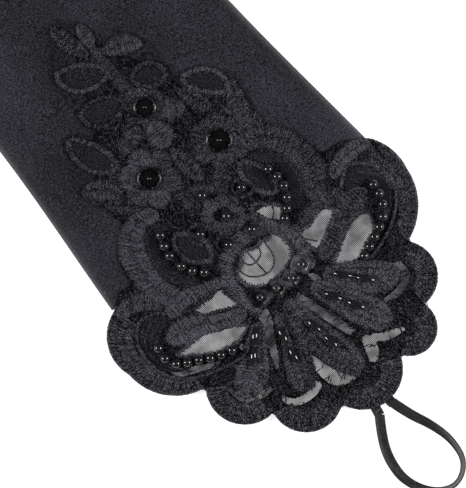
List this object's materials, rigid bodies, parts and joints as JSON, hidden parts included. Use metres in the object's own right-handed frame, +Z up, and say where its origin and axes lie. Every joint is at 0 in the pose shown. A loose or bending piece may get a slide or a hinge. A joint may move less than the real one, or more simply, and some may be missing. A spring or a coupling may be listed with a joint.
{
  "type": "opera glove",
  "caption": "Fingerless satin opera glove with a beaded lace fan over the back of the hand and a ribbon finger loop.",
  "frame": {"origin": "middle of the hand opening, on the plane that the glove rests on", "axes": "+Y towards the arm, +X across the hand, +Z up out of the resting surface"},
  "size_m": [0.112, 0.4515, 0.0132],
  "materials": {
    "satin": "satin",
    "elastic": "matte",
    "tulle": "sheer net",
    "embroidery": "thread sheen",
    "pearl": "glossy",
    "rice": "glossy",
    "sequin": "glossy, part see-through",
    "seed": "glossy",
    "stone": "faceted",
    "setting": "black nickel",
    "ribbon": "satin"
  },
  "bodies": {
    "sleeve": {"satin_back_panel": "satin", "satin_palm_panel": "satin", "left_seam_allowance": "satin", "right_seam_allowance": "satin", "arm_hem_band": "satin", "arm_elastic": "elastic", "hand_lace_ground": "tulle", "bud_spray": "embroidery", "left_leaf_spray": "embroidery", "right_leaf_spray": "embroidery", "left_flower": "embroidery", "right_flower": "embroidery", "hand_centre_motif": "embroidery", "left_small_scroll": "embroidery", "right_small_scroll": "embroidery", "left_wing_border": "embroidery", "right_wing_border": "embroidery", "left_scroll_pearls": "pearl", "right_scroll_pearls": "pearl", "hand_pearls": "pearl", "rhinestones": "stone", "rhinestone_settings": "setting"},
    "lace_fan": {"fan_tulle": "tulle", "fan_border": "embroidery", "fan_petals": "embroidery", "fan_hub_ring": "embroidery", "left_big_scroll": "embroidery", "right_big_scroll": "embroidery", "left_fan_pearls": "pearl", "right_fan_pearls": "pearl", "rice_beads": "rice", "sequins": "sequin", "sequin_seed_beads": "seed", "loop_sewn_tails": "ribbon"},
    "finger_loop": {"loop_ribbon": "ribbon"}
  },
  "joints": [
    {"name": "fan_fold", "type": "hinge", "parent": "sleeve", "child": "lace_fan", "pos_m": [-0.00175, -0.0093, 0.0047], "axis": [-0.995, 0.0995, 0], "range_deg": [0, 105]},
    {"name": "finger_loop_swing", "type": "hinge", "parent": "lace_fan", "child": "finger_loop", "pos_m": [-0.00175, -0.0676, 0.00085], "axis": [-1, 0, 0], "range_deg": [0, 105]}
  ]
}
